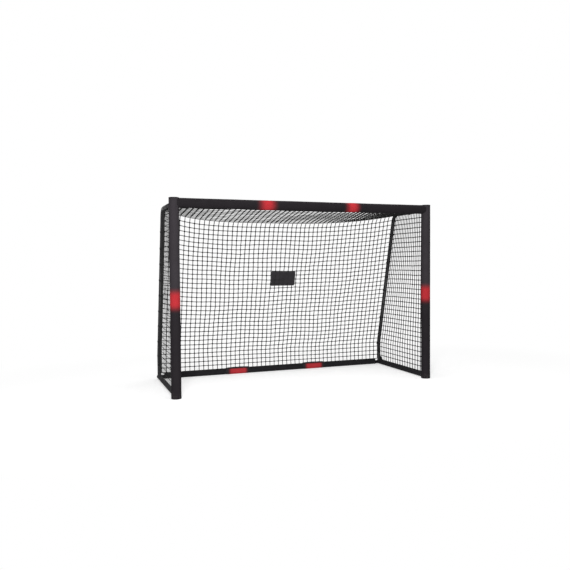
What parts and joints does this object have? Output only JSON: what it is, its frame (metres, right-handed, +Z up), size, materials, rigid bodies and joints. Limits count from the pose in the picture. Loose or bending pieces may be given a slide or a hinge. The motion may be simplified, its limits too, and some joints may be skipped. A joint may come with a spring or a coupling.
{
  "type": "portable soccer goal",
  "caption": "Portable goal with a padded steel tube frame, sloping rear stays, ground bars with textile sleeves and red cuffs, and a black net closed at the back, roof and sides.",
  "frame": {"origin": "on the ground, at the middle of the goal's width and depth", "axes": "+X across the goal, +Y from the mouth to the back, +Z up"},
  "size_m": [2.404, 0.9546, 1.6],
  "materials": {
    "black_powder_coat": "fine textured powder coat",
    "black_plastic": "moulded plastic",
    "grey_foam": "closed-cell foam",
    "black_cover": "smooth coated textile",
    "black_sleeve": "woven textile",
    "red_cuff": "padded textile",
    "net_cord": "knotted cord",
    "patch_textile": "textile patch",
    "zinc_button": "zinc plated"
  },
  "bodies": {
    "frame": {"crossbar_left": "black_powder_coat", "crossbar_middle": "black_powder_coat", "crossbar_right": "black_powder_coat", "rear_bar_left": "black_powder_coat", "rear_bar_middle": "black_powder_coat", "rear_bar_right": "black_powder_coat", "lower_post_left": "black_powder_coat", "upper_post_left": "black_powder_coat", "roof_tube_left": "black_powder_coat", "stay_left": "black_powder_coat", "ground_bar_left": "black_powder_coat", "lower_post_right": "black_powder_coat", "upper_post_right": "black_powder_coat", "roof_tube_right": "black_powder_coat", "stay_right": "black_powder_coat", "ground_bar_right": "black_powder_coat", "post_foot_left": "black_plastic", "end_cap_left": "black_plastic", "post_foot_right": "black_plastic", "end_cap_right": "black_plastic", "foam_lower_left": "grey_foam", "foam_upper_left": "grey_foam", "foam_crossbar_left": "grey_foam", "foam_lower_right": "grey_foam", "foam_upper_right": "grey_foam", "foam_crossbar_right": "grey_foam", "foam_crossbar_middle": "grey_foam", "post_cover_left": "black_cover", "post_cover_right": "black_cover", "crossbar_cover": "black_cover", "ground_sleeve_left": "black_sleeve", "rear_sleeve_left": "black_sleeve", "ground_sleeve_right": "black_sleeve", "rear_sleeve_right": "black_sleeve", "rear_sleeve_middle": "black_sleeve", "red_cuff_left": "red_cuff", "red_cuff_right": "red_cuff", "net_side_left": "net_cord", "net_side_right": "net_cord", "net_back": "net_cord", "net_roof": "net_cord", "net_patch": "patch_textile"},
    "button_crossbar_left": {"button_crossbar_left": "zinc_button"},
    "button_post_top_left": {"button_post_top_left": "zinc_button"},
    "button_post_left": {"button_post_left": "zinc_button"},
    "button_roof_left": {"button_roof_left": "zinc_button"},
    "button_stay_top_left": {"button_stay_top_left": "zinc_button"},
    "button_stay_foot_left": {"button_stay_foot_left": "zinc_button"},
    "button_ground_left": {"button_ground_left": "zinc_button"},
    "button_rear_end_left": {"button_rear_end_left": "zinc_button"},
    "button_rear_left": {"button_rear_left": "zinc_button"},
    "button_crossbar_right": {"button_crossbar_right": "zinc_button"},
    "button_post_top_right": {"button_post_top_right": "zinc_button"},
    "button_post_right": {"button_post_right": "zinc_button"},
    "button_roof_right": {"button_roof_right": "zinc_button"},
    "button_stay_top_right": {"button_stay_top_right": "zinc_button"},
    "button_stay_foot_right": {"button_stay_foot_right": "zinc_button"},
    "button_ground_right": {"button_ground_right": "zinc_button"},
    "button_rear_end_right": {"button_rear_end_right": "zinc_button"},
    "button_rear_right": {"button_rear_right": "zinc_button"}
  },
  "joints": [
    {"name": "press_crossbar_left", "type": "slide", "parent": "frame", "child": "button_crossbar_left", "axis": [0, -1, 0], "range_m": [0, 0.005], "stiffness_N_per_m": 800},
    {"name": "press_post_top_left", "type": "slide", "parent": "frame", "child": "button_post_top_left", "axis": [0, -1, 0], "range_m": [0, 0.005], "stiffness_N_per_m": 800},
    {"name": "press_post_left", "type": "slide", "parent": "frame", "child": "button_post_left", "axis": [0, -1, 0], "range_m": [0, 0.005], "stiffness_N_per_m": 800},
    {"name": "press_roof_left", "type": "slide", "parent": "frame", "child": "button_roof_left", "axis": [0, 0, -1], "range_m": [0, 0.005], "stiffness_N_per_m": 800},
    {"name": "press_stay_top_left", "type": "slide", "parent": "frame", "child": "button_stay_top_left", "axis": [0, -0.9711, -0.2389], "range_m": [0, 0.005], "stiffness_N_per_m": 800},
    {"name": "press_stay_foot_left", "type": "slide", "parent": "frame", "child": "button_stay_foot_left", "axis": [0, -1, 0], "range_m": [0, 0.005], "stiffness_N_per_m": 800},
    {"name": "press_ground_left", "type": "slide", "parent": "frame", "child": "button_ground_left", "axis": [-1, 0, 0], "range_m": [0, 0.005], "stiffness_N_per_m": 800},
    {"name": "press_rear_end_left", "type": "slide", "parent": "frame", "child": "button_rear_end_left", "axis": [0, -1, 0], "range_m": [0, 0.005], "stiffness_N_per_m": 800},
    {"name": "press_rear_left", "type": "slide", "parent": "frame", "child": "button_rear_left", "axis": [0, -1, 0], "range_m": [0, 0.005], "stiffness_N_per_m": 800},
    {"name": "press_crossbar_right", "type": "slide", "parent": "frame", "child": "button_crossbar_right", "axis": [0, -1, 0], "range_m": [0, 0.005], "stiffness_N_per_m": 800},
    {"name": "press_post_top_right", "type": "slide", "parent": "frame", "child": "button_post_top_right", "axis": [0, -1, 0], "range_m": [0, 0.005], "stiffness_N_per_m": 800},
    {"name": "press_post_right", "type": "slide", "parent": "frame", "child": "button_post_right", "axis": [0, -1, 0], "range_m": [0, 0.005], "stiffness_N_per_m": 800},
    {"name": "press_roof_right", "type": "slide", "parent": "frame", "child": "button_roof_right", "axis": [0, 0, -1], "range_m": [0, 0.005], "stiffness_N_per_m": 800},
    {"name": "press_stay_top_right", "type": "slide", "parent": "frame", "child": "button_stay_top_right", "axis": [0, -0.9711, -0.2389], "range_m": [0, 0.005], "stiffness_N_per_m": 800},
    {"name": "press_stay_foot_right", "type": "slide", "parent": "frame", "child": "button_stay_foot_right", "axis": [0, -1, 0], "range_m": [0, 0.005], "stiffness_N_per_m": 800},
    {"name": "press_ground_right", "type": "slide", "parent": "frame", "child": "button_ground_right", "axis": [1, 0, 0], "range_m": [0, 0.005], "stiffness_N_per_m": 800},
    {"name": "press_rear_end_right", "type": "slide", "parent": "frame", "child": "button_rear_end_right", "axis": [0, -1, 0], "range_m": [0, 0.005], "stiffness_N_per_m": 800},
    {"name": "press_rear_right", "type": "slide", "parent": "frame", "child": "button_rear_right", "axis": [0, -1, 0], "range_m": [0, 0.005], "stiffness_N_per_m": 800}
  ]
}
